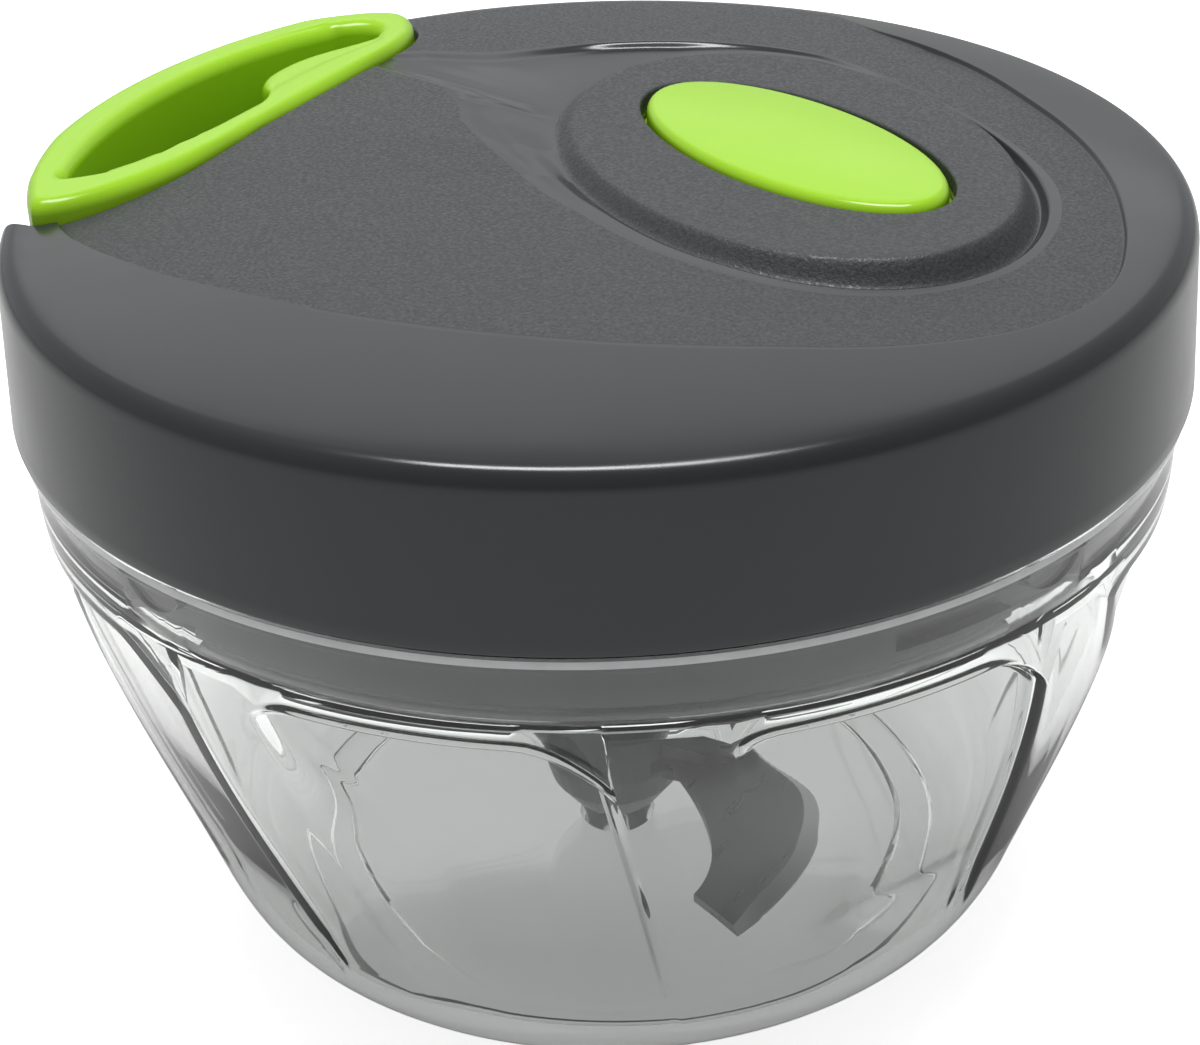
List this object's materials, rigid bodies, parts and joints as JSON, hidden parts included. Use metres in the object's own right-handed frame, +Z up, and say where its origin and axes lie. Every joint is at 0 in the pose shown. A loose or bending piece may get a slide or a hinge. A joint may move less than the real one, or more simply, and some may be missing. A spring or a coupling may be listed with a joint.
{
  "type": "vegetable chopper",
  "caption": "Pull-cord vegetable chopper: clear bowl with stacked sickle blades under a bayonet lid whose pulled handle unwinds a sprung cord spool to spin them.",
  "frame": {"origin": "centre of the bowl's foot, on the surface it stands on", "axes": "+Z up along the axis of bowl, blades and lid; -X is the way the handle is pulled out; +Y completes it"},
  "size_m": [0.125, 0.125, 0.0863],
  "materials": {
    "bowl": "clear, polished",
    "seal_ring": "translucent",
    "lid_cover": "glossy ring and skirt, fine grain on the panel",
    "lid_base": "semi-gloss",
    "handle": "glossy",
    "button": "glossy",
    "blade_shaft": "moulded",
    "blade_lower": "ground",
    "blade_middle": "ground",
    "blade_upper": "ground",
    "centre_pin": "polished",
    "spindle": "turned",
    "recoil_spring": "blued strip",
    "button_spring": "drawn wire",
    "pawl_a": "pressed",
    "pawl_b": "pressed",
    "lid_screw_a": "plated",
    "lid_screw_b": "plated",
    "lid_screw_c": "plated",
    "spring_cup": "moulded",
    "spool": "moulded",
    "drive_coupling": "moulded",
    "cord_guide": "moulded",
    "cord_winding": "twisted cord",
    "cord_run": "twisted cord",
    "cord_tail": "twisted cord",
    "cord_knot": "twisted cord"
  },
  "bodies": {
    "bowl": {"bowl": "bowl", "centre_pin": "centre_pin"},
    "blades": {"blade_shaft": "blade_shaft", "blade_lower": "blade_lower", "blade_middle": "blade_middle", "blade_upper": "blade_upper"},
    "seal": {"seal_ring": "seal_ring"},
    "lid": {"lid_cover": "lid_cover", "lid_base": "lid_base", "lid_screw_a": "lid_screw_a", "lid_screw_b": "lid_screw_b", "lid_screw_c": "lid_screw_c", "spring_cup": "spring_cup", "recoil_spring": "recoil_spring", "spindle": "spindle", "cord_guide": "cord_guide", "cord_run": "cord_run", "button_spring": "button_spring"},
    "spool": {"spool": "spool", "cord_winding": "cord_winding"},
    "pawl_a": {"pawl_a": "pawl_a"},
    "pawl_b": {"pawl_b": "pawl_b"},
    "drive": {"drive_coupling": "drive_coupling"},
    "handle": {"handle": "handle", "cord_tail": "cord_tail", "cord_knot": "cord_knot"},
    "button": {"button": "button"}
  },
  "joints": [
    {"name": "blades_spin", "type": "hinge", "parent": "bowl", "child": "blades", "pos_m": [0, 0, 0.0055], "axis": [0, 0, 1], "range_deg": [0, 1050]},
    {"name": "lid_lift", "type": "slide", "parent": "bowl", "child": "seal", "axis": [0, 0, 1], "range_m": [0, 0.1]},
    {"name": "lid_twist", "type": "hinge", "parent": "seal", "child": "lid", "pos_m": [0, 0, 0.0585], "axis": [0, 0, 1], "range_deg": [0, 13]},
    {"name": "handle_pull", "type": "slide", "parent": "lid", "child": "handle", "axis": [-1, 0, 0], "range_m": [0, 0.3], "stiffness_N_per_m": 20, "springref_m": -0.15},
    {"name": "spool_spin", "type": "hinge", "parent": "lid", "child": "spool", "pos_m": [0, 0, 0.07], "axis": [0, 0, 1], "range_deg": [0, 1050]},
    {"name": "drive_spin", "type": "hinge", "parent": "lid", "child": "drive", "pos_m": [0, 0, 0.06], "axis": [0, 0, 1], "range_deg": [0, 1050]},
    {"name": "pawl_a_swing", "type": "hinge", "parent": "spool", "child": "pawl_a", "pos_m": [0, 0.0094, 0.0635], "axis": [0, 0, 1], "range_deg": [0, 12]},
    {"name": "pawl_b_swing", "type": "hinge", "parent": "spool", "child": "pawl_b", "pos_m": [0, -0.0094, 0.0635], "axis": [0, 0, 1], "range_deg": [0, 12]},
    {"name": "button_press", "type": "slide", "parent": "lid", "child": "button", "axis": [0, 0, -1], "range_m": [0, 0.001], "stiffness_N_per_m": 600, "springref_m": -0.002, "deforming": ["button_spring"]}
  ],
  "couplings": [
    {"joint": "spool_spin", "follows": "handle_pull", "rad_per_m": 60.976},
    {"joint": "drive_spin", "follows": "handle_pull", "rad_per_m": 60.976},
    {"joint": "blades_spin", "follows": "handle_pull", "rad_per_m": 60.976}
  ]
}
